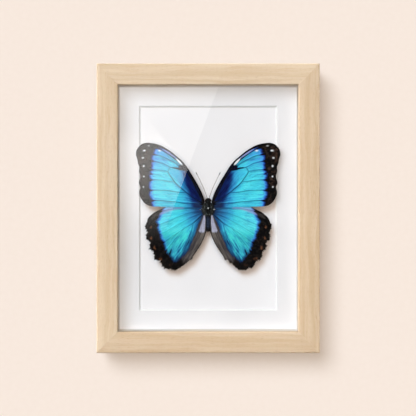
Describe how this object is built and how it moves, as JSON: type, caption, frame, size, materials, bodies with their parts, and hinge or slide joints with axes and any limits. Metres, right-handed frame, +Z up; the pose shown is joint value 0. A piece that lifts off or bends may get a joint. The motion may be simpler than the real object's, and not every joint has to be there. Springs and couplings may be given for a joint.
{
  "type": "framed butterfly specimen",
  "caption": "Set blue butterfly pinned in a pale wooden box frame, behind glass and a bevelled white mat, with a hanger behind.",
  "frame": {"origin": "the hanging point: the spot on the wall's surface where the nail carries the saw-tooth hanger, on the frame's middle line", "axes": "+Z up along the wall, +Y into the wall, so the glass faces -Y, +X to the right as seen from the front"},
  "size_m": [0.1728, 0.032, 0.2242],
  "materials": {
    "pale_wood": "pale ash, straight grain along each rail, clear matt lacquer",
    "clear_glass": "clear float glass",
    "white_board": "white mat and mount board, fine paper tooth, white core at the cut edges",
    "hardboard": "brown hardboard, fine fibres",
    "zinc_steel": "zinc-plated sheet steel",
    "body_fur": "black scales and short fur",
    "blue_wing": "metallic blue scales, black-brown margin with white spots",
    "antenna_skin": "dark horn"
  },
  "bodies": {
    "root": {"rail_top": "pale_wood", "rail_bottom": "pale_wood", "rail_left": "pale_wood", "rail_right": "pale_wood", "corner_nail_top": "zinc_steel", "corner_nail_bottom": "zinc_steel", "corner_nail_left": "zinc_steel", "corner_nail_right": "zinc_steel", "tab_top_1": "zinc_steel", "tab_top_2": "zinc_steel", "tab_bottom_1": "zinc_steel", "tab_bottom_2": "zinc_steel", "tab_left_1": "zinc_steel", "tab_left_2": "zinc_steel", "tab_right_1": "zinc_steel", "tab_right_2": "zinc_steel", "glass_pane": "clear_glass", "spacer_top": "white_board", "spacer_bottom": "white_board", "spacer_left": "white_board", "spacer_right": "white_board", "mat_board": "white_board", "backing_board": "white_board", "back_panel": "hardboard", "sawtooth_hanger": "zinc_steel", "hanger_tack_1": "zinc_steel", "hanger_tack_2": "zinc_steel", "butterfly_body": "body_fur", "forewing_right": "blue_wing", "forewing_left": "blue_wing", "hindwing_right": "blue_wing", "hindwing_left": "blue_wing", "antenna_right": "antenna_skin", "antenna_left": "antenna_skin", "insect_pin": "zinc_steel"}
  },
  "joints": []
}
